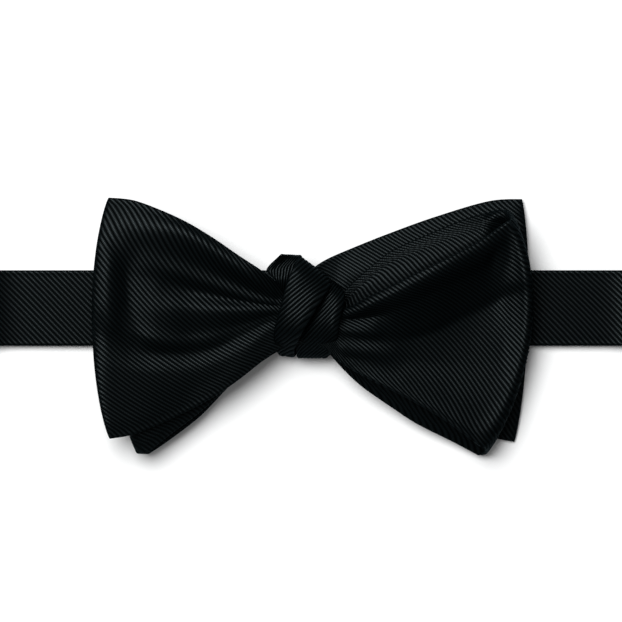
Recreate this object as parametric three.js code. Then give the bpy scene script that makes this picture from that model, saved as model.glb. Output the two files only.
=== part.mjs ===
import * as THREE from "three";

// A self-tie bow tie, tied and lying face up. Millimetres, +X along the neck band, +Z up from the
// surface that it lies on, origin on that surface under the middle of the knot.

// Driving dimensions
const CLOTH = 1.2; // a blade: two layers of ribbed silk with the lining between them
const BAND = { width: 20, waist: 15, cloth: 1.3 }; // waist: its width inside the knot
const FOLD_LIFT = 3.0; // how far a loop's turned edge bulges out past its two layers
const ACROSS = { front: 18, rear: 10, wrap: 12, turn: 6 };
const STEP = 3.0; // spacing of the rows along a blade

// A section of a blade: its lower and upper edge points, the height of its middle line and how far
// the middle runs out ahead of the two edges. The first table is the front blade from the cut edge
// of its free end on the left, through the knot, to the fold of the right loop.
const FRONT_RUN = [
  { low: [-52.3, -34.0, 9.4], high: [-52.6, 28.7, 11.4], mid: 13.5, bow: -4.5 },
  { low: [-46.1, -32.9, 10.4], high: [-46.1, 28.0, 13.0], mid: 15.6, bow: -3.6 },
  { low: [-39.2, -30.2, 11.4], high: [-39.2, 25.5, 14.4], mid: 17.0, bow: -2.6 },
  { low: [-32.2, -26.9, 12.0], high: [-32.2, 22.2, 15.2], mid: 17.6, bow: -1.8 },
  { low: [-25.2, -23.1, 12.4], high: [-25.2, 18.0, 15.0], mid: 17.0, bow: -1.2 },
  { low: [-19.2, -19.0, 12.2], high: [-19.2, 13.9, 14.2], mid: 15.6, bow: -0.8 },
  { low: [-13.6, -14.6, 11.6], high: [-13.0, 9.9, 12.8], mid: 13.4, bow: -0.4 },
  { low: [-9.4, -11.2, 10.9], high: [-8.4, 6.4, 11.8], mid: 11.9, bow: 0 },
  { low: [-5.0, -9.6, 10.8], high: [-5.0, 3.4, 11.3], mid: 11.5, bow: 0 },
  { low: [0.5, -9.4, 10.8], high: [0.5, 1.8, 11.3], mid: 11.5, bow: 0 },
  { low: [4.2, -10.9, 10.6], high: [5.0, 0.6, 11.4], mid: 11.5, bow: 0 },
  { low: [8.8, -15.2, 10.8], high: [9.6, 0.3, 12.6], mid: 12.2, bow: 0.2 },
  { low: [15.9, -20.0, 12.0], high: [15.9, 3.4, 14.8], mid: 14.0, bow: 0.6 },
  { low: [25.3, -25.6, 13.2], high: [25.3, 8.1, 17.6], mid: 16.2, bow: 1.2 },
  { low: [33.2, -29.8, 13.4], high: [34.4, 12.5, 19.6], mid: 17.4, bow: 2.2 },
  { low: [40.1, -34.8, 12.4], high: [43.6, 17.4, 20.6], mid: 17.4, bow: 4.0 },
  { low: [43.4, -37.2, 11.2], high: [50.2, 22.4, 19.6], mid: 15.6, bow: 6.0 },
];

// The same blade's back layer, from the fold back into the knot.
const FRONT_RETURN = [
  { low: [43.8, -38.6, 7.6], high: [49.6, 25.8, 10.4], mid: 9.6, bow: 6.0 },
  { low: [36.9, -34.9, 8.4], high: [41.0, 23.5, 9.4], mid: 9.4, bow: 4.0 },
  { low: [27.6, -30.2, 8.8], high: [30.2, 19.1, 9.0], mid: 9.4, bow: 2.2 },
  { low: [20.6, -25.6, 9.0], high: [20.5, 14.6, 9.0], mid: 9.4, bow: 1.0 },
  { low: [13.7, -20.8, 9.1], high: [12.4, 8.0, 9.1], mid: 9.3, bow: 0.4 },
  { low: [8.8, -16.4, 9.1], high: [8.6, 4.4, 9.1], mid: 9.2, bow: 0 },
  { low: [3.6, -10.6, 9.1], high: [3.0, 2.6, 9.1], mid: 9.1, bow: 0 },
];

// The rear blade, from the cut edge of its free end on the right to the fold of the left loop.
const REAR_RUN = [
  { low: [52.9, -35.1, 4.6], high: [54.9, 28.6, 4.8], mid: 6.4, bow: 2.6 },
  { low: [46.6, -33.6, 5.4], high: [46.2, 28.0, 5.4], mid: 6.8, bow: 2.0 },
  { low: [36.0, -28.6, 6.0], high: [32.2, 23.8, 5.8], mid: 7.0, bow: 1.4 },
  { low: [25.0, -22.4, 6.4], high: [20.6, 19.7, 6.2], mid: 7.1, bow: 0.8 },
  { low: [14.0, -16.0, 6.8], high: [11.3, 16.2, 6.6], mid: 7.2, bow: 0.4 },
  { low: [5.0, -10.4, 7.1], high: [4.2, 12.6, 7.0], mid: 7.2, bow: 0 },
  { low: [0.0, -9.4, 7.2], high: [0.0, 10.0, 7.1], mid: 7.2, bow: 0 },
  { low: [-7.6, -10.8, 7.3], high: [-7.0, 4.0, 7.3], mid: 7.3, bow: 0 },
  { low: [-19.4, -18.9, 8.0], high: [-19.0, 10.2, 7.9], mid: 8.3, bow: -0.6 },
  { low: [-28.9, -26.4, 8.0], high: [-29.5, 16.0, 7.9], mid: 8.6, bow: -1.4 },
  { low: [-37.0, -32.6, 7.6], high: [-39.0, 20.4, 7.8], mid: 8.7, bow: -2.8 },
  { low: [-42.6, -36.9, 7.2], high: [-46.6, 23.0, 7.6], mid: 8.4, bow: -4.6 },
];

const REAR_RETURN = [
  { low: [-42.8, -37.5, 4.6], high: [-46.8, 21.6, 4.8], mid: 5.0, bow: -4.6 },
  { low: [-36.6, -33.4, 5.0], high: [-38.0, 18.4, 5.0], mid: 5.2, bow: -2.8 },
  { low: [-28.6, -27.2, 5.3], high: [-29.0, 14.0, 5.3], mid: 5.3, bow: -1.4 },
  { low: [-18.6, -17.8, 5.4], high: [-18.0, 9.0, 5.4], mid: 5.4, bow: -0.6 },
  { low: [-7.6, -9.8, 5.4], high: [-7.0, 4.0, 5.4], mid: 5.4, bow: 0 },
  { low: [-2.0, -8.0, 5.4], high: [-2.0, 3.0, 5.4], mid: 5.4, bow: 0 },
];

// A fold: the line that its crest or valley follows over three points, its rise (negative for a
// valley) and its reach to either side at those points.
const FRONT_FOLDS = [
  // the left free end, from its upper edge down
  { from: [-9, 1.5], via: [-22, 9.4], to: [-37, 17.5], rise: [-0.6, -2.6, -0.6], reach: [1.2, 2.4, 5] },
  { from: [-13, 2], via: [-20, 4], to: [-33, 13], rise: [0.6, 1.4, 0.4], reach: [1.2, 1.8, 4] },
  { from: [-10, 0.6], via: [-20, 2.2], to: [-36, 8], rise: [-0.3, -1.5, -0.5], reach: [1, 1.6, 3] },
  { from: [-9, -0.4], via: [-27, -0.6], to: [-44, 1.6], rise: [0.8, 3.2, 1.6], reach: [1.6, 5, 9] },
  { from: [-10, -2.6], via: [-24, -8.4], to: [-41, -10], rise: [-0.8, -3.0, -1.5], reach: [1.3, 2.6, 4.6] },
  { from: [-43, -9.6], via: [-50, -1], to: [-48.6, 14], rise: [-1.2, -2.4, -0.4], reach: [4.4, 3.6, 6] },
  { from: [-11, -5.4], via: [-24, -11.2], to: [-42, -14.8], rise: [0.6, 2.2, 2.2], reach: [1.3, 3, 5.4] },
  // the right loop's front layer, from its upper edge down
  { from: [9, -3], via: [24, -4.6], to: [47, 5.4], rise: [-0.6, -3.4, -2.6], reach: [1.2, 2.8, 5] },
  { from: [10, -4.6], via: [15, -2.8], to: [19, -4.4], rise: [0.8, 1.4, 0.2], reach: [1, 1.2, 1.6] },
  { from: [8.6, -7], via: [15, -8.2], to: [22, -8.2], rise: [-0.5, -1.2, -0.3], reach: [1, 1.3, 2] },
  { from: [9.4, -9.6], via: [19, -11], to: [34, -12], rise: [0.6, 1.4, 0.6], reach: [1.3, 2.2, 5] },
  { from: [9, -12], via: [15, -13.4], to: [23, -12.8], rise: [-0.4, -1.0, -0.2], reach: [1, 1.6, 2.4] },
  { from: [12, -15], via: [25, -24.2], to: [43, -34.6], rise: [0.4, 1.2, 1.0], reach: [1.4, 3, 4] },
];

const REAR_FOLDS = [
  { from: [-8, -3], via: [-22, -5], to: [-40, -6], rise: [0.2, 0.6, 0.4], reach: [1.6, 4, 9] },
  { from: [8, 3], via: [24, 3], to: [46, 2], rise: [0.1, 0.3, 0.3], reach: [2, 5, 9] },
];

// The knot's wrap, a row per section round it: over the top, down the front, under and up the back.
// left and right are its two edges, tuck how far those edges curl in.
const WRAP = [
  { left: [-4.6, 12.5, 8.4], right: [-0.4, 11.2, 8.6], tuck: 0.2 },
  { left: [-4.4, 12.3, 12.2], right: [0.4, 10.9, 12.0], tuck: 0.4 },
  { left: [-4.8, 10.6, 15.2], right: [2.2, 9.2, 14.8], tuck: 0.8 },
  { left: [-5.8, 7.6, 16.8], right: [5.0, 6.4, 16.0], tuck: 1.0 },
  { left: [-6.9, 3.6, 17.2], right: [8.2, 3.2, 16.6], tuck: 1.2 },
  { left: [-8.0, -0.6, 17.2], right: [7.8, -1.2, 16.8], tuck: 1.2 },
  { left: [-9.2, -5.2, 16.8], right: [7.2, -5.4, 16.6], tuck: 1.1 },
  { left: [-9.9, -9.2, 15.6], right: [6.9, -9.0, 15.4], tuck: 0.9 },
  { left: [-9.6, -11.8, 13.0], right: [5.2, -11.6, 13.0], tuck: 0.4 },
  { left: [-8.8, -12.7, 9.8], right: [3.8, -12.5, 9.8], tuck: 0.2 },
  { left: [-8.0, -12.4, 5.6], right: [3.6, -12.2, 5.6], tuck: 0 },
  { left: [-7.4, -10.9, 2.9], right: [3.8, -10.9, 2.9], tuck: 0 },
  { left: [-7.0, -8.6, 2.2], right: [4.4, -8.6, 2.2], tuck: 0 },
  { left: [-6.6, -3.0, 2.2], right: [4.8, -3.0, 2.2], tuck: 0 },
  { left: [-6.0, 3.0, 2.2], right: [4.0, 3.0, 2.2], tuck: 0 },
  { left: [-5.4, 8.4, 2.2], right: [2.0, 8.2, 2.2], tuck: 0 },
  { left: [-5.0, 11.2, 2.9], right: [0.6, 10.6, 2.9], tuck: 0 },
  { left: [-4.8, 12.4, 5.2], right: [-0.2, 11.3, 5.2], tuck: 0.1 },
];

// Its front is one broad wrap with a narrower pleat down its right side and a groove between them.
const WRAP_FOLDS = [
  { from: [-1, 8], via: [-3.2, 0], to: [-5.6, -8.4], rise: [0.4, 1.0, 0.5], reach: [2, 3.6, 2.8] },
  { from: [4.8, 5.8], via: [1.2, -2], to: [-2.6, -9.4], rise: [-0.8, -1.8, -0.5], reach: [0.9, 1.2, 1.1] },
  { from: [6.2, 3.4], via: [4.6, -3], to: [1.8, -9.6], rise: [0.3, 0.7, 0.3], reach: [1.4, 2.1, 1.9] },
];

// The small turned fold at the knot's upper left, from its point on the front over the top. Its
// right edge is tucked under the wrap.
const TURN = [
  { left: [-7.0, 3.9, 13.7], right: [-6.0, 3.6, 13.6], puff: 0 },
  { left: [-9.2, 6.6, 14.0], right: [-5.0, 6.0, 13.7], puff: 0.8 },
  { left: [-11.6, 9.6, 13.8], right: [-5.6, 8.8, 13.5], puff: 1.4 },
  { left: [-9.9, 11.6, 13.0], right: [-5.6, 11.2, 12.6], puff: 1.2 },
  { left: [-8.3, 13.1, 11.2], right: [-5.3, 13.1, 11.0], puff: 0.4 },
  { left: [-7.6, 13.3, 8.6], right: [-5.3, 13.2, 8.6], puff: 0 },
  { left: [-7.0, 12.8, 6.2], right: [-5.3, 12.8, 6.2], puff: 0 },
];

// The neck band's line in the XZ plane, right half: flat on the surface, round a soft bend, back
// over itself and up to the knot. The left half is its mirror image.
const BAND_LINE = [
  [0, 0.65],
  [88, 0.65],
  [92.4, 0.7],
  [96.4, 1.9],
  [98.8, 4.5],
  [97.6, 7.5],
  [93.8, 8.8],
  [89, 7.6],
  [84, 5.0],
  [79, 3.0],
  [73, 2.3],
  [60, 2.25],
  [40, 2.25],
  [24, 2.6],
  [14, 3.5],
  [8, 3.75],
  [0, 3.75],
];

// Smooth interpolation of one number through evenly spaced rows
function through(values, place) {
  const last = values.length - 1;
  const k = Math.min(Math.floor(place), last - 1);
  const f = place - k;
  const a = values[Math.max(k - 1, 0)];
  const b = values[k];
  const c = values[k + 1];
  const d = values[Math.min(k + 2, last)];
  const bend = (2 * a - 5 * b + 4 * c - d) * f * f + (3 * b - a - 3 * c + d) * f * f * f;
  return b + 0.5 * ((c - a) * f + bend);
}

// The value at u of 0 to 1 of a curve that passes three points evenly
function threePoint([a, b, c], u) {
  return a * (1 - u) * (1 - 2 * u) + 4 * b * u * (1 - u) + c * u * (2 * u - 1);
}

function foldHeight(folds, x, y) {
  let height = 0;
  for (const fold of folds) {
    let nearest = { gap: Infinity, u: 0 };
    for (let i = 0; i <= 16; i++) {
      const u = i / 16;
      const px = threePoint([fold.from[0], fold.via[0], fold.to[0]], u);
      const py = threePoint([fold.from[1], fold.via[1], fold.to[1]], u);
      const gap = Math.hypot(x - px, y - py);
      if (gap < nearest.gap) nearest = { gap, u };
    }
    const rise = threePoint(fold.rise, nearest.u);
    const reach = threePoint(fold.reach, nearest.u);
    height += rise * Math.exp(-((nearest.gap / reach) ** 2));
  }
  return height;
}

// One row of points across a blade at a place between its sections
function bladeRow(sections, place, cells, folds) {
  const column = (pick) => through(sections.map(pick), place);
  const low = [0, 1, 2].map((i) => column((s) => s.low[i]));
  const high = [0, 1, 2].map((i) => column((s) => s.high[i]));
  const mid = column((s) => s.mid);
  const bow = column((s) => s.bow);
  const row = [];
  for (let j = 0; j <= cells; j++) {
    const t = j / cells;
    const hump = 4 * t * (1 - t);
    const x = low[0] + (high[0] - low[0]) * t + bow * Math.pow(hump, 0.8);
    const y = low[1] + (high[1] - low[1]) * t;
    const level = low[2] + (high[2] - low[2]) * t + (mid - (low[2] + high[2]) / 2) * hump;
    row.push(new THREE.Vector3(x, y, level + foldHeight(folds, x, y)));
  }
  return row;
}

// All rows of one layer, about STEP apart
function layerRows(sections, cells, folds) {
  const rows = [];
  for (let k = 0; k < sections.length - 1; k++) {
    const here = sections[k];
    const next = sections[k + 1];
    const length = Math.abs(next.low[0] + next.high[0] - here.low[0] - here.high[0]) / 2;
    const steps = Math.max(1, Math.round(length / STEP));
    for (let i = 0; i < steps; i++) rows.push(bladeRow(sections, k + i / steps, cells, folds));
  }
  rows.push(bladeRow(sections, sections.length - 1, cells, folds));
  return rows;
}

// The turned edge that joins the last row of one layer to the first row of the next
function turnedEdge(rowAbove, rowBelow, outward) {
  const rows = [];
  for (const angle of [36, 72, 108, 144]) {
    const a = THREE.MathUtils.degToRad(angle);
    rows.push(
      rowAbove.map((p, j) => {
        const middle = p.clone().add(rowBelow[j]).multiplyScalar(0.5);
        const arm = p.clone().sub(rowBelow[j]).multiplyScalar(0.5);
        middle.addScaledVector(arm, Math.cos(a));
        middle.x += outward * FOLD_LIFT * Math.sin(a);
        return middle;
      }),
    );
  }
  return rows;
}

// A closed body of the given thickness round a net of points; loop joins its last row to its first
function clothMesh(name, rows, thickness, loop, material) {
  const count = rows.length;
  const across = rows[0].length;
  const rowAt = (i) => (loop ? rows[(i + count) % count] : rows[Math.min(Math.max(i, 0), count - 1)]);
  const points = [];
  for (const side of [0.5, -0.5]) {
    for (let i = 0; i < count; i++) {
      for (let j = 0; j < across; j++) {
        const along = rowAt(i + 1)[j].clone().sub(rowAt(i - 1)[j]);
        const over = rows[i][Math.min(j + 1, across - 1)].clone().sub(rows[i][Math.max(j - 1, 0)]);
        const normal = along.cross(over).normalize();
        points.push(rows[i][j].clone().addScaledVector(normal, side * thickness));
      }
    }
  }
  const at = (layer, i, j) => layer * count * across + ((i + count) % count) * across + j;
  const faces = [];
  const quad = (a, b, c, d) => faces.push(a, b, c, a, c, d);
  const spans = loop ? count : count - 1;
  for (let i = 0; i < spans; i++) {
    for (let j = 0; j < across - 1; j++) {
      quad(at(0, i, j), at(0, i + 1, j), at(0, i + 1, j + 1), at(0, i, j + 1));
      quad(at(1, i, j), at(1, i, j + 1), at(1, i + 1, j + 1), at(1, i + 1, j));
    }
    quad(at(0, i, 0), at(1, i, 0), at(1, i + 1, 0), at(0, i + 1, 0));
    const j = across - 1;
    quad(at(0, i, j), at(0, i + 1, j), at(1, i + 1, j), at(1, i, j));
  }
  if (!loop) {
    for (let j = 0; j < across - 1; j++) {
      const i = count - 1;
      quad(at(0, 0, j), at(0, 0, j + 1), at(1, 0, j + 1), at(1, 0, j));
      quad(at(0, i, j), at(1, i, j), at(1, i, j + 1), at(0, i, j + 1));
    }
  }
  const geometry = new THREE.BufferGeometry().setFromPoints(points);
  geometry.setIndex(faces);
  geometry.computeVertexNormals();
  const mesh = new THREE.Mesh(geometry, material);
  mesh.name = name;
  return mesh;
}

const silk = (colour) => new THREE.MeshStandardMaterial({ color: colour, roughness: 0.6, metalness: 0 });
const tie = new THREE.Group();
tie.name = "bow_tie";

// Front bow: free end, knot, loop and back layer in one length
const frontRun = layerRows(FRONT_RUN, ACROSS.front, FRONT_FOLDS);
const frontReturn = layerRows(FRONT_RETURN, ACROSS.front, []);
const frontTurn = turnedEdge(frontRun.at(-1), frontReturn[0], 1);
tie.add(clothMesh("front_bow", [...frontRun, ...frontTurn, ...frontReturn], CLOTH, false, silk(0x17191a)));

// Rear bow: the same, the other way round
const rearRun = layerRows(REAR_RUN, ACROSS.rear, REAR_FOLDS);
const rearReturn = layerRows(REAR_RETURN, ACROSS.rear, []);
const rearTurn = turnedEdge(rearRun.at(-1), rearReturn[0], -1);
tie.add(clothMesh("rear_bow", [...rearRun, ...rearTurn, ...rearReturn], CLOTH, false, silk(0x141617)));

// A row of points from the left to the right edge of one of the knot's sections
function knotRow(sections, place, cells, lift) {
  const column = (pick) => through(sections.map(pick), place);
  const left = [0, 1, 2].map((i) => column((s) => s.left[i]));
  const right = [0, 1, 2].map((i) => column((s) => s.right[i]));
  const row = [];
  for (let j = 0; j <= cells; j++) {
    const t = j / cells;
    const [x, y, z] = left.map((a, i) => a + (right[i] - a) * t);
    row.push(new THREE.Vector3(x, y, z + lift(x, y, z, t, column)));
  }
  return row;
}

// Knot wrap: a closed sleeve round both bows and the band's upper run
const wrapLoop = [WRAP.at(-1), ...WRAP, WRAP[0], WRAP[1]];
const wrapLift = (x, y, z, t, column) => {
  const rim = Math.pow(Math.abs(2 * t - 1), 4);
  const front = THREE.MathUtils.smoothstep(z, 12, 15);
  return front * foldHeight(WRAP_FOLDS, x, y) - rim * column((s) => s.tuck);
};
const wrapRows = [];
for (let i = 0; i < WRAP.length * 2; i++) {
  wrapRows.push(knotRow(wrapLoop, 1 + i / 2, ACROSS.wrap, wrapLift));
}
tie.add(clothMesh("knot_wrap", wrapRows, CLOTH, true, silk(0x1a1c1d)));

// Knot turn: a short puffed strip bent over the top
const turnLift = (x, y, z, t, column) => 4 * t * (1 - t) * column((s) => s.puff);
const turnRows = [];
for (let i = 0; i <= (TURN.length - 1) * 2; i++) {
  turnRows.push(knotRow(TURN, i / 2, ACROSS.turn, turnLift));
}
tie.add(clothMesh("knot_turn", turnRows, CLOTH, false, silk(0x1c1e1f)));

// Neck band: one closed loop, narrower where it passes the knot
function bandRow(x, z, upper) {
  const pinch = upper ? 1 - THREE.MathUtils.smoothstep(Math.abs(x), 6, 26) : 0;
  const half = (BAND.width - (BAND.width - BAND.waist) * pinch) / 2;
  return [-half, 0, half].map((y) => new THREE.Vector3(x, y, z));
}
const bandRows = [];
const bandCurve = new THREE.CatmullRomCurve3(
  BAND_LINE.slice(1).map(([x, z]) => new THREE.Vector3(x, 0, z)),
  false,
  "centripetal",
);
const halfBand = [];
for (const x of [0, 22, 44, 66]) halfBand.push(bandRow(x, BAND_LINE[0][1], false));
for (let i = 0; i <= 32; i++) {
  const p = bandCurve.getPoint(i / 32);
  halfBand.push(bandRow(p.x, Math.max(p.z, BAND.cloth / 2), p.z > 1.5));
}
const mirrored = halfBand.slice(1, -1).map((row) => row.map((p) => new THREE.Vector3(-p.x, p.y, p.z)));
bandRows.push(...halfBand, ...mirrored.reverse());
tie.add(clothMesh("neck_band", bandRows, BAND.cloth, true, silk(0x121415)));

export default tie;
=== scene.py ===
import math
from collections import namedtuple

import bpy
import numpy as np
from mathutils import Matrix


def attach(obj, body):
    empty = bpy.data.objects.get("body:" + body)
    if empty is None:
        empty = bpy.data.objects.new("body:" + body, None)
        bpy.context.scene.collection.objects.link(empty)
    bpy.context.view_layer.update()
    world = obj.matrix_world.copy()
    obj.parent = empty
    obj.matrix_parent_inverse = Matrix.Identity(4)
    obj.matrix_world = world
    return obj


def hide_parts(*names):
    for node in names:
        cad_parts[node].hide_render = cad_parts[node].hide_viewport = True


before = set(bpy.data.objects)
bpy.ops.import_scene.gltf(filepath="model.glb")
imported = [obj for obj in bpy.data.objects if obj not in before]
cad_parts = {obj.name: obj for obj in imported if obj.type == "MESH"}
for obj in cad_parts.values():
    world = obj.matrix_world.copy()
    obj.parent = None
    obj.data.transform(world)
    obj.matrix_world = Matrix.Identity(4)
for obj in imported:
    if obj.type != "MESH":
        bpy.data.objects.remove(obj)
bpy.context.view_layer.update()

# Front bow
# The tie's front blade: two layers of black ribbed silk, cut on the bias, sewn right sides together
# with a lining and turned. Its free end is the left wing. It is pinched in the knot, opens into the
# front layer of the right loop, turns at the fold and runs back behind it into the knot.
MM = 0.001
cloth = 1.2  # both silks and the lining together
Section = namedtuple("Section", "low high mid bow")

# Lengths are in millimetres. A section holds its lower and its upper edge point, the height of its
# middle line and how far the middle leads the edges.
front_run = [
    Section((-52.3, -34.0, 12.4), (-52.6, 28.7, 12.2), 14.2, -4.5),
    Section((-46.1, -32.9, 12.0), (-46.1, 28.0, 13.0), 16.0, -3.6),
    Section((-39.2, -30.2, 11.3), (-39.2, 25.5, 13.6), 17.0, -2.6),
    Section((-32.2, -26.9, 10.6), (-32.2, 22.2, 14.1), 17.6, -1.8),
    Section((-25.2, -23.1, 10.4), (-25.2, 18.0, 14.6), 17.0, -1.2),
    Section((-19.2, -19.0, 10.4), (-19.2, 13.9, 15.0), 15.6, -0.8),
    Section((-13.6, -14.6, 10.5), (-13.0, 9.9, 14.9), 13.4, -0.4),
    Section((-9.4, -11.2, 10.6), (-8.4, 6.4, 12.6), 11.9, 0),
    Section((-5.0, -9.6, 10.8), (-5.0, 3.4, 11.3), 11.5, 0),
    Section((0.5, -9.4, 10.8), (0.5, 1.8, 11.3), 11.5, 0),
    Section((4.2, -10.9, 10.8), (5.0, 0.6, 11.4), 11.5, 0),
    Section((8.8, -14.9, 11.0), (9.6, 0.3, 13.0), 11.8, 0.2),
    Section((15.9, -18.9, 11.6), (15.9, 3.4, 15.6), 12.8, 0.6),
    Section((25.3, -23.6, 11.5), (25.3, 8.1, 17.6), 12.6, 1.4),
    Section((33.2, -28.2, 11.3), (34.4, 12.5, 17.6), 11.8, 3.0),
    Section((40.1, -33.1, 10.9), (43.6, 17.4, 15.2), 10.0, 5.8),
    Section((43.9, -36.0, 10.1), (50.7, 22.4, 13.2), 9.0, 9.0),
]
front_return = [
    Section((43.8, -38.6, 2.6), (49.6, 25.8, 5.8), 5.6, 6.2),
    Section((36.9, -34.9, 3.2), (41.0, 23.5, 3.8), 6.1, 4.0),
    Section((27.6, -30.2, 4.2), (30.2, 19.1, 4.6), 7.2, 2.2),
    Section((20.6, -25.6, 5.2), (20.5, 14.6, 5.8), 8.0, 1.0),
    Section((13.7, -20.8, 6.4), (12.4, 8.0, 7.6), 8.7, 0.4),
    Section((8.8, -16.4, 7.8), (8.6, 4.4, 8.9), 9.1, 0),
    Section((3.6, -10.6, 9.1), (3.0, 2.6, 9.1), 9.1, 0),
]
# The folds of the free end, from its lower edge up. Each is a line of points x, y, z that runs from
# the knot outwards, along a crest, a valley or a bend.
wing_folds = [
    # bend along the lower seam
    [(-7, -7.6, 11.1), (-11, -10.2, 11.1), (-15, -12.6, 11.1), (-20, -15.8, 11.0), (-25, -18.6, 10.8),
     (-31, -21.8, 10.8), (-36, -24.4, 11.3), (-42, -27.0, 12.1), (-48, -28.5, 12.7), (-54, -29, 13.1),
     (-57, -29.0, 12.4)],
    # broad crest under the trough
    [(-7, -5.0, 11.3), (-11, -5.8, 11.5), (-15, -8.8, 11.6), (-20, -11.6, 11.4), (-25, -14.2, 11.3),
     (-31, -16.0, 11.4), (-36, -17.0, 11.8), (-42, -17.2, 12.5), (-47, -16.4, 13.0), (-50, -15.8, 13.3),
     (-54, -15.2, 13.6), (-57, -15, 12.8)],
    # the trough, deep and narrow
    [(-7, -3.6, 11.3), (-11, -3.7, 11.2), (-15, -5.8, 11.1), (-20, -8.4, 10.9), (-25, -10.6, 10.8),
     (-31, -11.8, 10.8), (-36, -12.0, 11.1), (-40, -12.0, 11.3), (-43, -11.6, 11.4), (-47, -10.2, 11.8),
     (-50, -9, 12.5), (-52.5, -8.6, 13.1), (-54, -8.5, 13.2), (-57, -8.5, 12.2)],
    # its sharp upper lip
    [(-7, -2.8, 11.4), (-11, -2.6, 11.4), (-15, -4.1, 11.3), (-20, -5.9, 11.2), (-25, -7.6, 11.6),
     (-31, -8.4, 12.1), (-36, -8.4, 12.95), (-40, -7.8, 13.3), (-43, -6.8, 13.1), (-45.2, -5.8, 12.7),
     (-48.8, -4.6, 13.0), (-51.2, -3.6, 14.2), (-52.8, -3, 14.6), (-57, -3, 13.3)],
    # shallow valley inside the lip
    [(-7, -2.2, 11.4), (-11, -2.0, 11.5), (-15, -3.4, 11.4), (-20, -4.8, 11.3), (-25, -6.0, 11.6),
     (-31, -6.6, 11.9), (-36, -6.2, 12.8), (-40, -5.0, 13.2), (-43, -3.8, 13.1), (-46.6, -2.6, 12.8),
     (-49.2, -1.6, 13.4), (-52.6, -1, 15.0), (-57, -1, 13.7)],
    # the long middle crest
    [(-7, -0.6, 11.5), (-11, -0.6, 12.1), (-15, -0.6, 12.6), (-20, -0.6, 12.9), (-25, -0.6, 13.0),
     (-31, -0.5, 13.1), (-36, -0.3, 13.6), (-40, 0.2, 13.6), (-43, 0.6, 13.3), (-47.4, 1.2, 12.8),
     (-49.2, 1.6, 13.6), (-52.6, 2, 15.3), (-57, 2, 14.0)],
    # valley above it
    [(-7, 0.5, 11.4), (-11, 0.9, 11.7), (-15, 1.4, 11.9), (-20, 2.2, 11.7), (-25, 3.3, 11.6),
     (-31, 4.6, 11.7), (-36, 6.0, 12.5), (-40, 7, 13.3), (-43, 7.2, 13.3), (-47.8, 7.4, 12.9),
     (-49.2, 7.6, 13.6), (-52.6, 8, 15.4), (-57, 8, 14.1)],
    # narrow crest
    [(-7, 1.3, 11.4), (-11, 1.7, 12.1), (-15, 2.6, 12.6), (-20, 4.4, 13.0), (-25, 6.3, 13.2),
     (-31, 8.5, 13.4), (-36, 10.0, 13.8), (-40, 11, 13.9), (-43, 11.2, 13.8), (-47.3, 11.5, 13.3),
     (-49.2, 11.8, 13.8), (-52.6, 12, 15.2), (-57, 12, 13.9)],
    # valley under the upper edge
    [(-7, 2.0, 11.3), (-11, 2.7, 11.9), (-15, 4.2, 12.3), (-20, 6.3, 12.8), (-25, 8.3, 13.1),
     (-31, 10.6, 13.4), (-36, 12.4, 13.8), (-40, 14.2, 14.1), (-43, 15.0, 14.1), (-46, 15.4, 14.0),
     (-50, 15.8, 14.2), (-54, 16, 14.8), (-57, 16, 13.7)],
    # the crest that follows the upper edge
    [(-7, 3.6, 11.6), (-11, 5.9, 13.5), (-15, 8.6, 15.4), (-20, 11.7, 16.1), (-25, 15.0, 16.1),
     (-31, 18.6, 15.9), (-36, 20.3, 15.5), (-42, 20.8, 15.0), (-46, 20.8, 14.6), (-50, 21.0, 14.2),
     (-57, 21.6, 12.8)],
]
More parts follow.
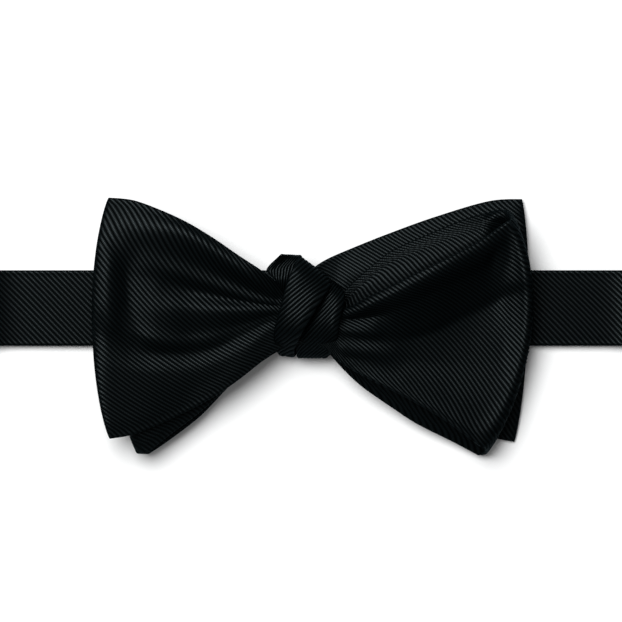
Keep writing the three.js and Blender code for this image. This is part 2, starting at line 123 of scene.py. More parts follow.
# the folds of the loop's front layer, in the same order
loop_folds = [
    # flat run up to the lower seam
    [(7, -12.4, 11.1), (9, -13.8, 11.2), (12, -15.3, 11.1), (16, -17.2, 11.1), (20, -19.4, 11.1),
     (26, -22.6, 10.9), (32, -25.9, 10.7), (38, -29.8, 10.4), (44, -33.4, 9.9), (50, -32, 10.0),
     (57, -32, 10.2)],
    # short gather
    [(7, -11.9, 11.0), (9, -12.7, 11.0), (12, -13.3, 10.9), (16, -14.2, 10.7), (20, -15.2, 10.4),
     (26, -17, 10.2), (32, -20, 9.9), (38, -23, 9.5), (44, -23, 9.0), (50, -22, 8.9), (57, -20, 9.2)],
    # crest between the gathers
    [(7, -9.2, 11.6), (9, -10.3, 11.7), (12, -11.0, 11.6), (16, -11.4, 11.3), (20, -11.9, 10.7),
     (26, -12.8, 9.4), (32, -13.6, 8.7), (38, -13, 8.2), (44, -11.5, 7.9), (50, -10, 8.0), (53, -9.6, 8.9),
     (57, -9, 9.9)],
    # the long valley
    [(7, -6.7, 11.4), (9, -7.4, 11.2), (12, -8.0, 11.0), (16, -8.4, 10.7), (20, -8.7, 10.2), (22, -8.7, 9.9),
     (26, -8.3, 9.2), (32, -6.7, 8.5), (38, -3.7, 7.8), (44, -0.8, 7.4), (49.0, 1.6, 7.8),
     (53, 3, 9.7), (57, 4, 11.4)],
    # the short puckered crest beside the knot, which runs out in the slope above the valley
    [(7, -5.0, 11.6), (9, -5.7, 11.8), (12, -6.0, 11.9), (16, -5.9, 11.8), (19, -5.6, 11.3), (22, -5.4, 11.0),
     (26, -5.2, 10.5), (32, -3.6, 9.8), (38, -0.6, 9.0), (44, 2.4, 8.6), (48.6, 5.4, 9.1), (52.5, 7, 11.0),
     (57, 8, 12.7)],
    # valley above it
    [(7, -2.2, 11.3), (9, -2.7, 11.3), (12, -2.8, 11.3), (16, -2.5, 11.6), (19, -2.0, 12.1), (22, -0.8, 13.2),
     (26, 1.2, 14.0), (32, 4.0, 13.8), (38, 6.6, 12.8), (44, 9.4, 11.6), (47, 11.4, 11.2), (49, 12.4, 11.7),
     (52.5, 14, 12.0), (57, 15, 13.5)],
    # the crease's own crest, just under the upper seam
    [(7, -1.2, 11.5), (9.6, -1.3, 13.2), (15.9, 1.6, 15.9), (25.3, 6.1, 18.0), (34.4, 10.5, 18.0),
     (43.6, 15.4, 15.8), (49, 18.6, 13.9), (52, 19.4, 12.9), (57, 20, 14.0)],
]
# the loop's back layer is bent down along its lower seam, and dented inside the fold's upper end
return_folds = [
    # bend along the lower seam
    [(3, -7.0, 9.2), (9, -10.5, 9.2), (14, -15, 8.8), (20.6, -20, 7.8), (27.6, -24.8, 6.9),
     (37, -29.8, 5.4), (44, -33, 4.6), (60, -33, 4.4)],
    # flat middle
    [(3, -2, 9.2), (20, -3, 8.3), (36, -2, 6.5), (46, 0, 5.6), (60, 0, 5.5)],
    # bend under the front layer's crease, which dips into the dimple at the fold's upper end
    [(3, -0.5, 9.2), (9, 0, 9.2), (20, 5, 8.4), (30, 10.5, 7.5), (36, 13.5, 6.9), (43, 17.8, 6.4),
     (46, 20.0, 6.2), (48.5, 21.4, 4.6), (50, 22.0, 4.4), (60, 22.6, 5.0)],
    # the fold's own upper edge stands up round the dimple
    [(3, 0.8, 9.2), (9, 2.5, 9.2), (20, 8, 8.1), (30, 13.5, 7.0), (36, 16.6, 6.3), (43, 20.6, 5.6),
     (46, 22.4, 5.6), (49, 24.2, 6.6), (60, 24.8, 6.6)],
]


def smooth(rows, place):
    """Evenly spaced rows of numbers, read at places between them without corners."""
    rows = np.asarray(rows, float)
    last = len(rows) - 1
    k = np.clip(np.floor(place).astype(int), 0, last - 1)
    f = (place - k).reshape(place.shape + (1,) * (rows.ndim - 1))
    a, b, c, d = (rows[np.clip(k + i, 0, last)] for i in (-1, 0, 1, 2))
    bend = (2 * a - 5 * b + 4 * c - d) * f**2 + (3 * b - a - 3 * c + d) * f**3
    return b + 0.5 * ((c - a) * f + bend)


def through(places, heights, at):
    """A smooth curve through heights at rising places, flat on its crests and in its valleys."""
    least_gap = 0.05
    gap = np.maximum(np.diff(places, axis=0), least_gap)
    climb = np.diff(heights, axis=0) / gap
    onward = climb[:-1] * climb[1:] > 0
    lean = np.zeros_like(heights)
    both = np.where(onward, climb[:-1] + climb[1:], 1)
    lean[1:-1] = np.where(onward, 2 * climb[:-1] * climb[1:] / both, 0)
    lean[0], lean[-1] = climb[0], climb[-1]
    curve = heights[0]
    for k in range(len(gap)):
        u = np.clip((at - places[k]) / gap[k], 0, 1)
        part = heights[k] + (heights[k + 1] - heights[k]) * u * u * (3 - 2 * u)
        part = part + gap[k] * u * (1 - u) * (lean[k] * (1 - u) - lean[k + 1] * u)
        curve = np.where(at >= places[k], part, curve)
    return curve


def folded_height(points, low, high, folds):
    """The height of cloth that passes through both its edges and the folds between them."""
    steps = 20  # between two points of a fold
    x, y = points[..., 0], points[..., 1]
    places = [np.broadcast_to(low[:, 1:2], x.shape)]
    heights = [np.broadcast_to(low[:, 2:3], x.shape)]
    for fold in folds:
        line = smooth(fold, np.linspace(0, len(fold) - 1, steps * len(fold)))
        places.append(np.interp(abs(x), abs(line[:, 0]), line[:, 1]))
        heights.append(np.interp(abs(x), abs(line[:, 0]), line[:, 2]))
    places.append(np.broadcast_to(high[:, 1:2], x.shape))
    heights.append(np.broadcast_to(high[:, 2:3], x.shape))
    return through(np.maximum.accumulate(places, axis=0), np.array(heights), y)


# distances from a seam at which the cloth gets a column of points, so that its edge is round
seam_columns = np.array([0, 0.08, 0.28, 0.55, 0.9, 1.3, 1.9])


def blade_layer(sections, cells, left_folds=None, right_folds=None):
    """The middle surface of one layer of a blade: rows along it, columns across it."""
    spacing = 0.5  # of the rows
    folds_begin, folds_full = 6, 9  # distances to either side of the knot's middle
    dense = np.linspace(0, len(sections) - 1, 400)
    low = smooth([s.low for s in sections], dense)
    high = smooth([s.high for s in sections], dense)
    run = np.concatenate([[0], np.cumsum(np.linalg.norm(np.diff(low + high, axis=0), axis=1) / 2)])
    place = np.interp(np.linspace(0, run[-1], int(run[-1] / spacing) + 2), run, dense)
    low = smooth([s.low for s in sections], place)
    high = smooth([s.high for s in sections], place)
    mid = smooth([s.mid for s in sections], place)[:, None]
    bow = smooth([s.bow for s in sections], place)[:, None]
    width = np.linalg.norm(high - low, axis=1)[:, None]
    inner = np.linspace(0, 1, cells + 1)[1:-1] * (width - 2 * seam_columns[-1]) + seam_columns[-1]
    t = np.hstack([seam_columns / width, inner / width, 1 - seam_columns[::-1] / width])
    hump = 4 * t * (1 - t)
    points = low[:, None, :] * (1 - t)[..., None] + high[:, None, :] * t[..., None]
    points[..., 0] += bow * hump**0.8
    points[..., 2] += (mid - (low[:, 2:] + high[:, 2:]) / 2) * hump
    for side, folds in ((-1, left_folds), (1, right_folds)):
        if folds:
            share = np.clip((side * points[..., 0] - folds_begin) / (folds_full - folds_begin), 0, 1)
            folded = folded_height(points, low, high, folds)
            points[..., 2] += (folded - points[..., 2]) * share * share * (3 - 2 * share)
    return points


def turned_edge(above, below, outward, lift):
    """Rows round the fold that joins one layer's last row to the next layer's first."""
    step = 7.5  # degrees
    middle = (above + below) / 2
    arm = (above - below) / 2
    rows = []
    for angle in np.radians(np.arange(step, 180, step)):
        row = middle + arm * math.cos(angle)
        row[:, 0] += outward * lift * math.sin(angle)
        rows.append(row)
    return np.array(rows)


def along_and_across(middle):
    """Each point's distance along the cloth from its first row, and across it from its first seam."""
    steps = np.linalg.norm(np.diff(middle, axis=0), axis=2)
    along = np.vstack([np.zeros(middle.shape[1]), np.cumsum(steps, axis=0)])
    steps = np.linalg.norm(np.diff(middle, axis=1), axis=2)
    across = np.hstack([np.zeros((len(middle), 1)), np.cumsum(steps, axis=1)])
    return along, across


def rounded(distance, radius):
    """Half thickness as a share of the full one, at a distance from a rounded edge."""
    return np.sqrt(1 - np.clip(1 - distance / radius, 0, 1) ** 2)


def thickness(middle, cut_ends, cloth):
    """Half the cloth's thickness: rounded at every edge, and a little fuller just inside the seams."""
    edge_radius = 0.55
    full_at, flat_at = 0.6, 1.5  # distances from a seam
    fullness, reach = 0.05, 0.4
    along, across = along_and_across(middle)
    seam = np.minimum(across, across[:, -1:] - across)
    swell = np.exp(-(((seam - full_at) / reach) ** 2)) - np.exp(-(((seam - flat_at) / reach) ** 2))
    half = cloth / 2 * rounded(seam, edge_radius) * (1 + fullness * swell)
    if cut_ends:
        half = half * rounded(along, edge_radius) * rounded(along[-1] - along, edge_radius)
    return half


rib_depth = 0.2
rib_fullness = 2.2  # 1 makes a rib's section a roof, 2 a parabola
map_unit = 100  # millimetres of flat cloth in one unit of the cloth map


def rib_profile(place):
    """The height of a rib, 0 in the grooves and 1 on its crest, at a place counted in ribs."""
    return 1 - np.abs(2 * (place % 1) - 1) ** rib_fullness


def eased(distance):
    """Rows crowd together in the last millimetre before a cut end, so that its rounded edge is even."""
    least = 0.02
    close = np.exp(np.minimum(distance, 1) - 1)
    return np.where(distance < 1, np.where(close < least, 0, close), distance)


def sew(name, middle, half, pattern, stretches, slant=45, pitch=1.05, facets=6):
    """
    A front and a back sheet of silk joined along their rims, with rows that follow the ribs.
    Each stretch is a first row, a last row, and the sheet that shows there: 1 front, -1 back.
    """
    margin = 2.5  # the rows start and stop this far outside a stretch, and are cut off at its ends
    seam_fade = 0.6  # the ribs run out this close to a seam
    fold_fade = 6  # and within this many rows of a fold, or of the join of a ring
    weld = 1e-7
    ring = bool(np.allclose(middle[0], middle[-1]))
    lap = np.concatenate([middle[-3:-1], middle, middle[1:3]]) if ring else middle
    normal = np.cross(np.gradient(lap, axis=0), np.gradient(lap, axis=1))
    normal = normal[2:-2] if ring else normal
    normal /= np.linalg.norm(normal, axis=2)[..., None]
    across = along_and_across(middle)[1]
    seam = np.minimum(across, across[:, -1:] - across)
    known = np.concatenate([middle, normal, half[..., None], pattern, seam[..., None]], axis=2)
    columns = np.arange(middle.shape[1])
    cosine, sine = math.cos(math.radians(slant)), math.sin(math.radians(slant))
    front, back, flat = [], [], []
    for first, last, side in stretches:
        p = pattern[first : last + 1, :, 0]
        over = p * cosine + side * pattern[first : last + 1, :, 1] * sine
        lines = np.arange(over.min() - margin, over.max() + margin, pitch / facets)
        # where each rib line crosses each column, counted in rows of the middle surface
        rows = []
        for j in columns:
            climb = np.maximum.accumulate(over[:, j]) + np.arange(len(over)) * 1e-9
            at = np.interp(lines, climb, p[:, j])
            at = at - np.maximum(climb[0] - lines, 0) / cosine + np.maximum(lines - climb[-1], 0) / cosine
            at = p[0, j] + eased(at - p[0, j]) if first == 0 and not ring else at
            at = p[-1, j] - eased(p[-1, j] - at) if last == len(middle) - 1 and not ring else at
            rows.append(np.interp(at, p[:, j], np.arange(first, last + 1)))
        rows = np.stack(rows, axis=1)
        below = np.clip(np.floor(rows).astype(int), 0, len(middle) - 2)
        share = (rows - below)[..., None]
        here = known[below, columns] * (1 - share) + known[below + 1, columns] * share
        place, out, thick, cloth_at, inset = np.split(here, [3, 6, 7, 9], axis=2)
        out /= np.linalg.norm(out, axis=2)[..., None]
        rib = cloth_at[..., :1] * cosine + side * cloth_at[..., 1:] * sine
        no_fold = np.full(rows.shape, np.inf)
        before = rows - first if first or ring else no_fold
        after = last - rows if last < len(middle) - 1 or ring else no_fold
        from_fold = np.minimum(before, after)[..., None]
        fade = np.clip(inset / seam_fade, 0, 1) * np.clip(from_fold / fold_fade, 0, 1)
        groove = rib_depth * (1 - rib_profile(rib / pitch)) * fade
        front.append(place + out * np.maximum(thick - (groove if side > 0 else 0), 0))
        back.append(place - out * np.maximum(thick - (groove if side < 0 else 0), 0))
        flat.append(cloth_at)
    front, back, flat = np.concatenate(front), np.concatenate(back), np.concatenate(flat)
    # a grid for the front sheet, a turned copy of it for the back sheet
    bpy.ops.object.select_all(action="DESELECT")
    bpy.ops.mesh.primitive_grid_add(x_subdivisions=len(columns) - 1, y_subdivisions=len(front) - 1, size=1)
    piece = bpy.context.object
    piece.name = name
    piece.data.name = name
    bpy.ops.object.mode_set(mode="EDIT")
    bpy.ops.mesh.select_all(action="SELECT")
    bpy.ops.mesh.duplicate()
    bpy.ops.mesh.flip_normals()
    bpy.ops.object.mode_set(mode="OBJECT")
    mesh = piece.data
    places = np.concatenate([front.reshape(-1, 3), back.reshape(-1, 3)]) * MM
    mesh.vertices.foreach_set("co", places.ravel())
    mesh.uv_layers[0].name = "cloth"
    corner = np.empty(len(mesh.loops), int)
    mesh.loops.foreach_get("vertex_index", corner)
    flat = np.concatenate([flat.reshape(-1, 2), flat.reshape(-1, 2) * [1, -1]]) / map_unit
    mesh.uv_layers["cloth"].uv.foreach_set("vector", flat[corner].astype(np.float32).ravel())
    bpy.ops.object.mode_set(mode="EDIT")
    bpy.ops.mesh.select_all(action="SELECT")
    bpy.ops.mesh.remove_doubles(threshold=weld)
    bpy.ops.mesh.dissolve_degenerate(threshold=weld)
    # a corner where three points of the rim meet is left as a face without thickness: it is taken off
    bpy.ops.mesh.select_all(action="DESELECT")
    bpy.ops.mesh.select_non_manifold(
        use_wire=False, use_boundary=True, use_multi_face=False, use_non_contiguous=False, use_verts=False
    )
    bpy.ops.mesh.delete(type="ONLY_FACE")
    bpy.ops.mesh.select_all(action="SELECT")
    bpy.ops.mesh.delete_loose()
    bpy.ops.mesh.select_all(action="SELECT")
    bpy.ops.mesh.normals_make_consistent(inside=False)
    bpy.ops.object.mode_set(mode="OBJECT")
    bpy.ops.object.shade_smooth()
    return piece


def cut_pattern(middle, pinch_row, waist, spread):
    """Each point's place on the flat cut cloth: along the blade and across it."""
    along, across = along_and_across(middle)
    chord = np.linalg.norm(middle[:, -1] - middle[:, 0], axis=1)[:, None]
    q = (across / across[:, -1:] - 0.5) * (waist + spread * chord)
    p = along - along[pinch_row]
    # the weave is never quite straight
    sway = 0.22 * np.sin(p / 8.3 + 1) * np.sin(q / 6.1)
    ripple = 0.1 * np.sin(p / 3.1 + q / 4.7)
    return np.stack([p, q + sway + ripple], axis=2)


def ribbed_silk_group():
    """Ribs that slant across the cloth, crossed by fine threads: colour with shade painted into the grooves,
    roughness, gloss and height.
    """
    thread_height = 0.4  # of a rib's height
    groove_matt = 0.3  # how much rougher the grooves are than the ribs
    fleck_matt = 0.16  # how far the roughness varies along a rib
    fleck_light, least_light = 0.8, 0.6  # of the colour: what a fleck adds, and what there is without it
    rib_contrast = 1.4  # how soon the colour falls from a rib's crest to the painted shade of its grooves
    gloss_contrast, most_gloss = 1.7, 0.3
    group = bpy.data.node_groups.new("ribbed silk", "ShaderNodeTree")
    for name, kind, value in (
        ("Cloth", "NodeSocketVector", None),
        ("Rib pitch", "NodeSocketFloat", 1.05),
        ("Rib slant", "NodeSocketFloat", 45),
        ("Thread pitch", "NodeSocketFloat", 0.46),
        ("Rib colour", "NodeSocketColor", (0.0009, 0.0018, 0.0021, 1)),
        # painted shade: the grooves' colour is darker than the ribs' to stand for the shade that falls in
        # them
        ("Painted groove shade", "NodeSocketColor", (0.0003, 0.0004, 0.0004, 1)),
        ("Roughness", "NodeSocketFloat", 0.45),
    ):
        socket = group.interface.new_socket(name, in_out="INPUT", socket_type=kind)
        if value is not None:
            socket.default_value = value
    for name, kind in (
        ("Colour", "NodeSocketColor"),
        ("Roughness", "NodeSocketFloat"),
        ("Gloss", "NodeSocketFloat"),
        ("Height", "NodeSocketFloat"),
    ):
        group.interface.new_socket(name, in_out="OUTPUT", socket_type=kind)
    nodes, links = group.nodes, group.links
    inputs = nodes.new("NodeGroupInput")
    outputs = nodes.new("NodeGroupOutput")

    def math_node(operation, *values):
        node = nodes.new("ShaderNodeMath")
        node.operation = operation
        for socket, value in zip(node.inputs, values):
            if isinstance(value, (int, float)):
                socket.default_value = value
            else:
                links.new(value, socket)
        return node.outputs[0]

    place = nodes.new("ShaderNodeSeparateXYZ")
    links.new(inputs.outputs["Cloth"], place.inputs[0])
    along, across = place.outputs[0], place.outputs[1]
    turn = math_node("RADIANS", inputs.outputs["Rib slant"])
    cosine, sine = math_node("COSINE", turn), math_node("SINE", turn)
    over = math_node("ADD", math_node("MULTIPLY", along, cosine), math_node("MULTIPLY", across, sine))
    down = math_node("SUBTRACT", math_node("MULTIPLY", along, sine), math_node("MULTIPLY", across, cosine))
    count = math_node("DIVIDE", math_node("MULTIPLY", over, map_unit), inputs.outputs["Rib pitch"])
    inside = math_node("ABSOLUTE", math_node("MULTIPLY_ADD", math_node("FRACT", count), 2, -1))
    rib = math_node("SUBTRACT", 1, math_node("POWER", inside, rib_fullness))
    # each rib's cross threads start half a thread on from its neighbour's
    number = math_node("FLOOR", count)
    thread = math_node("DIVIDE", math_node("MULTIPLY", down, map_unit), inputs.outputs["Thread pitch"])
    thread = math_node("ADD", thread, math_node("MULTIPLY", number, 0.5))
    bead = math_node("ABSOLUTE", math_node("SINE", math_node("MULTIPLY", thread, math.pi)))
    beaded = math_node("MULTIPLY_ADD", bead, thread_height, 1 - thread_height)
    height = math_node("MULTIPLY", rib, beaded)
    links.new(height, outputs.inputs["Height"])
    # the grooves are painted darker, as the shade that falls in them, and flecks along the ribs catch a
    # little more light than the rest
    fleck = nodes.new("ShaderNodeTexNoise")
    fleck.inputs["Scale"].default_value = 260
    fleck.inputs["Detail"].default_value = 3
    links.new(inputs.outputs["Cloth"], fleck.inputs["Vector"])
    lit = math_node("MULTIPLY_ADD", fleck.outputs["Fac"], fleck_light, least_light)
    tone = math_node("MULTIPLY", math_node("POWER", height, rib_contrast), lit)
    colour = nodes.new("ShaderNodeMix")
    colour.data_type = "RGBA"
    links.new(tone, colour.inputs["Factor"])
    links.new(inputs.outputs["Painted groove shade"], colour.inputs["A"])
    links.new(inputs.outputs["Rib colour"], colour.inputs["B"])
    links.new(colour.outputs["Result"], outputs.inputs["Colour"])
    sunk = math_node("SUBTRACT", 1, height)
    matt = math_node("MULTIPLY_ADD", sunk, groove_matt, inputs.outputs["Roughness"])
    uneven = math_node("MULTIPLY_ADD", fleck.outputs["Fac"], fleck_matt, -fleck_matt / 2)
    matt = math_node("ADD", matt, uneven)
    links.new(matt, outputs.inputs["Roughness"])
    gloss = math_node("MULTIPLY", math_node("POWER", tone, gloss_contrast), most_gloss)
    links.new(gloss, outputs.inputs["Gloss"])
    return group


ribbed_silk = ribbed_silk_group()


def black_silk(name, **values):
    """Black silk with the ribs that the values give."""
    edge_fall = 4  # how fast the gloss goes when the cloth turns away
    material = bpy.data.materials.new(name)
    material.use_nodes = True
    nodes, links = material.node_tree.nodes, material.node_tree.links
    shader = nodes["Principled BSDF"]
    weave = nodes.new("ShaderNodeGroup")
    weave.node_tree = ribbed_silk
    for key, value in values.items():
        weave.inputs[key.replace("_", " ").capitalize()].default_value = value
    pattern = nodes.new("ShaderNodeUVMap")
    pattern.uv_map = "cloth"
    links.new(pattern.outputs["UV"], weave.inputs["Cloth"])
    bump = nodes.new("ShaderNodeBump")
    bump.inputs["Strength"].default_value = 1
    bump.inputs["Distance"].default_value = rib_depth * MM
    links.new(weave.outputs["Height"], bump.inputs["Height"])
    links.new(bump.outputs["Normal"], shader.inputs["Normal"])
    links.new(weave.outputs["Colour"], shader.inputs["Base Color"])
    links.new(weave.outputs["Roughness"], shader.inputs["Roughness"])
    # seen along its surface the cloth stays dark, because its ribs stand in front of each other
    edge_on = nodes.new("ShaderNodeLayerWeight")
    edge_on.inputs["Blend"].default_value = 0.5
    towards = nodes.new("ShaderNodeMath")
    towards.operation = "SUBTRACT"
    towards.inputs[0].default_value = 1
    links.new(edge_on.outputs["Facing"], towards.inputs[1])
    dull = nodes.new("ShaderNodeMath")
    dull.operation = "POWER"
    dull.inputs[1].default_value = edge_fall
    links.new(towards.outputs[0], dull.inputs[0])
    gloss = nodes.new("ShaderNodeMath")
    gloss.operation = "MULTIPLY"
    links.new(weave.outputs["Gloss"], gloss.inputs[0])
    links.new(dull.outputs[0], gloss.inputs[1])
    links.new(gloss.outputs[0], shader.inputs["Coat Weight"])
    shader.inputs["Coat Roughness"].default_value = 0.37
    shader.inputs["Coat IOR"].default_value = 1.5
    shader.inputs["Specular IOR Level"].default_value = 0.015
    return material


def finish_cloth(piece, material, node):
    """Give a piece its silk, put it on the root body, and hide the solid that it dresses."""
    piece.data.materials.clear()
    piece.data.materials.append(material)
    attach(piece, "root")
    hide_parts(node)


def row_in_knot(run):
    """The row of a layer whose middle lies in the knot."""
    return int(np.argmin(np.abs(run[:, run.shape[1] // 2, 0])))


front_cells = 62
waist = 20  # the blade's width in the knot
spread = 0.69  # how much wider its cut is for each millimetre between the seams
run = blade_layer(front_run, front_cells, wing_folds, loop_folds)
# the front layer rises to the fold, most at its upper end
from_first = along_and_across(run)[0]
from_fold = from_first[-1] - from_first
rise = 0.4 + 0.014 * run[..., 1]
rise_reach = 1.6
run[..., 2] += rise * np.exp(-((from_fold / rise_reach) ** 2))
back = blade_layer(front_return, front_cells, None, return_folds)
turn = turned_edge(run[-1], back[0], outward=1, lift=1.7)
middle = np.concatenate([run, turn, back])
fold_row = len(run) + len(turn) // 2
pattern = cut_pattern(middle, row_in_knot(run), waist, spread)
half = thickness(middle, cut_ends=True, cloth=cloth)
front_bow = sew(
    "front_bow_silk", middle, half, pattern, [(0, fold_row, 1), (fold_row, len(middle) - 1, -1)], facets=5
)
bow_silk = black_silk("front bow silk")
finish_cloth(
    front_bow,
    bow_silk,
    "front_bow",
)

# Rear bow
# The other blade, the same in cut and cloth. It is folded the other way and pushed through behind
# the front bow, so its loop lies behind the left wing and its free end behind the right loop.
rear_run = [
    Section((53.3, -35.1, 1.0), (55.3, 28.6, 1.2), 3.9, 2.6),
    Section((46.8, -33.6, 1.2), (46.4, 28.0, 1.6), 4.0, 2.0),
    Section((36.0, -28.6, 1.8), (32.2, 23.8, 2.6), 4.4, 1.4),
    Section((25.0, -22.4, 3.0), (20.6, 19.6, 3.6), 5.6, 0.8),
    Section((14.0, -16.0, 4.8), (11.3, 15.9, 5.0), 6.8, 0.4),
    Section((5.0, -10.4, 6.9), (4.2, 12.8, 6.4), 7.2, 0),
    Section((0.0, -9.4, 7.2), (0.0, 10.0, 7.1), 7.2, 0),
    Section((-7.6, -10.8, 7.4), (-7.0, 4.0, 7.3), 7.3, 0),
    Section((-19.4, -18.9, 7.8), (-19.0, 10.2, 7.9), 8.3, -0.6),
    Section((-28.7, -27.0, 8.0), (-29.5, 16.0, 7.9), 8.6, -1.4),
    Section((-36.9, -33.2, 8.1), (-39.0, 20.4, 7.8), 8.7, -2.8),
    Section((-42.4, -37.6, 8.0), (-46.6, 23.0, 7.6), 8.4, -4.6),
]
rear_return = [
    Section((-42.4, -38.2, 5.4), (-46.8, 21.6, 4.8), 5.0, -4.6),
    Section((-36.4, -34.1, 5.6), (-38.0, 18.4, 5.0), 5.2, -2.8),
    Section((-28.4, -27.8, 5.6), (-29.0, 14.0, 5.3), 5.3, -1.4),
    Section((-18.6, -17.8, 5.4), (-18.0, 9.0, 5.4), 5.4, -0.6),
    Section((-7.6, -9.8, 5.4), (-7.0, 4.0, 5.4), 5.4, 0),
    Section((-2.0, -8.0, 5.4), (-2.0, 3.0, 5.4), 5.4, 0),
]
# the loop is bent down along its lower seam, the free end along both
rear_loop_folds = [
    [(-6, -6.0, 7.3), (-12, -9.0, 7.9), (-19, -13.0, 8.8), (-29, -20.5, 9.3), (-37, -27, 9.6),
     (-43, -31, 9.6), (-52, -33, 8.8)],
    [(-6, 1.5, 7.3), (-20, 4, 8.4), (-38, 10, 8.8), (-52, 12, 8.4)],
]
rear_end_folds = [
    [(6, -6.0, 7.2), (14, -10, 6.8), (25, -14, 5.3), (36, -16, 4.1), (46, -17, 3.4), (59, -17, 3.0)],
    [(6, -1, 7.2), (14, -1, 7.0), (25, -1, 5.8), (36, -1, 4.5), (46, -1, 4.0), (59, -1, 3.9)],
    [(6, 4.5, 7.2), (14, 8.6, 7.0), (25, 11, 5.9), (36, 12, 4.9), (46, 12, 4.4), (59, 12, 4.1)],
]
rear_cells = 36
run = blade_layer(rear_run, rear_cells, rear_loop_folds, rear_end_folds)
back = blade_layer(rear_return, rear_cells)
turn = turned_edge(run[-1], back[0], outward=-1, lift=2.4)
middle = np.concatenate([run, turn, back])[::-1]
fold_row = len(back) + len(turn) // 2
pattern = cut_pattern(middle, len(middle) - 1 - row_in_knot(run), waist, spread)
half = thickness(middle, cut_ends=True, cloth=cloth)
rear_bow = sew(
    "rear_bow_silk", middle, half, pattern, [(0, fold_row, -1), (fold_row, len(middle) - 1, 1)], facets=4
)
bow_silk = black_silk("rear bow silk")
finish_cloth(
    rear_bow,
    bow_silk,
    "rear_bow",
)

# Knot
# The narrow waist of the second blade, turned over the front of both bows. One broad wrap comes
# over the top and sweeps down to the left, a pleat of the same cloth lies under its right edge, and
# a small turned fold stands out at the upper left.
# a strip's row holds its left and its right edge point and how far the cloth stands up between them
Strip = namedtuple("Strip", "left right puff")
wrap_rows = [
    Strip((-7.0, -8.0, 2.2), (-1.6, -8.0, 2.2), 0),
    Strip((-6.6, 0.0, 2.2), (0.0, 0.0, 2.2), 0),
    Strip((-5.6, 7.6, 2.2), (0.8, 7.2, 2.2), 0),
    Strip((-4.8, 10.8, 2.9), (1.8, 9.4, 2.9), 0),
    Strip((-4.0, 12.4, 5.8), (3.0, 9.2, 5.8), 0.1),
    Strip((-3.4, 13.1, 10.0), (4.2, 8.0, 10.0), 0.3),
    Strip((-3.3, 13.0, 12.8), (4.7, 6.9, 12.8), 0.8),
    Strip((-4.6, 10.4, 14.6), (4.8, 5.4, 14.8), 1.0),
    Strip((-6.0, 7.2, 15.4), (3.5, 3.2, 15.9), 1.1),
    Strip((-7.0, 3.8, 15.8), (2.0, 1.0, 16.3), 1.1),
    Strip((-7.8, 0.4, 15.9), (0.6, -1.4, 16.4), 1.1),
    Strip((-8.7, -2.8, 15.6), (-0.9, -3.8, 16.1), 1.1),
    Strip((-9.4, -5.6, 14.6), (-2.3, -6.2, 15.2), 1.0),
    Strip((-9.6, -8.0, 12.0), (-3.4, -8.4, 12.6), 0.8),
    Strip((-9.2, -9.8, 9.0), (-4.1, -10.2, 9.4), 0.6),
    Strip((-8.7, -11.4, 6.0), (-4.3, -12.0, 6.2), 0.3),
    Strip((-8.1, -11.9, 4.4), (-4.1, -12.4, 4.4), 0.1),
    Strip((-7.4, -10.6, 2.6), (-2.8, -10.6, 2.6), 0),
]
pleat_rows = [
    Strip((3.6, 7.6, 8.4), (7.4, 5.4, 8.4), 0.1),
    Strip((3.8, 7.2, 11.0), (8.5, 3.9, 11.6), 0.5),
    Strip((3.6, 5.0, 11.8), (8.6, 2.6, 13.2), 1.0),
    Strip((2.4, 2.2, 11.8), (8.2, 0.6, 13.6), 1.6),
    Strip((0.8, -0.8, 11.8), (7.6, -1.8, 13.6), 1.8),
    Strip((-1.0, -3.8, 11.6), (7.2, -4.2, 13.4), 1.8),
    Strip((-2.6, -6.6, 11.2), (7.0, -6.6, 12.6), 1.4),
    Strip((-3.8, -9.0, 9.8), (6.8, -8.8, 10.6), 0.9),
    Strip((-3.9, -11.0, 7.8), (6.0, -10.8, 8.2), 0.5),
    Strip((-3.7, -12.5, 5.8), (4.4, -12.5, 6.0), 0.2),
    Strip((-3.4, -12.2, 4.0), (3.8, -12.1, 4.0), 0.1),
    Strip((-2.0, -10.6, 2.6), (3.8, -10.6, 2.6), 0),
    Strip((-1.0, -8.0, 2.2), (4.4, -8.0, 2.2), 0),
    Strip((0.4, -3.0, 2.2), (4.8, -3.0, 2.2), 0),
]
turn_rows = [
    Strip((-7.4, 12.9, 6.6), (-3.2, 12.6, 6.6), 0),
    Strip((-8.1, 13.5, 10.2), (-2.4, 13.2, 9.6), 0),
    Strip((-8.4, 13.2, 12.8), (-2.3, 13.1, 12.0), 0.1),
    Strip((-9.2, 12.6, 13.4), (-2.2, 12.7, 12.6), 0.1),
    Strip((-10.5, 11.5, 13.5), (-2.3, 12.0, 13.0), 0.1),
    Strip((-11.6, 9.8, 13.7), (-2.6, 11.0, 13.2), 0.1),
    Strip((-10.4, 8.4, 13.9), (-3.4, 9.2, 13.4), 0.1),
    Strip((-8.8, 6.6, 13.8), (-4.6, 7.0, 13.3), 0.1),
    Strip((-7.0, 3.6, 12.0), (-5.6, 4.4, 12.0), 0),
]


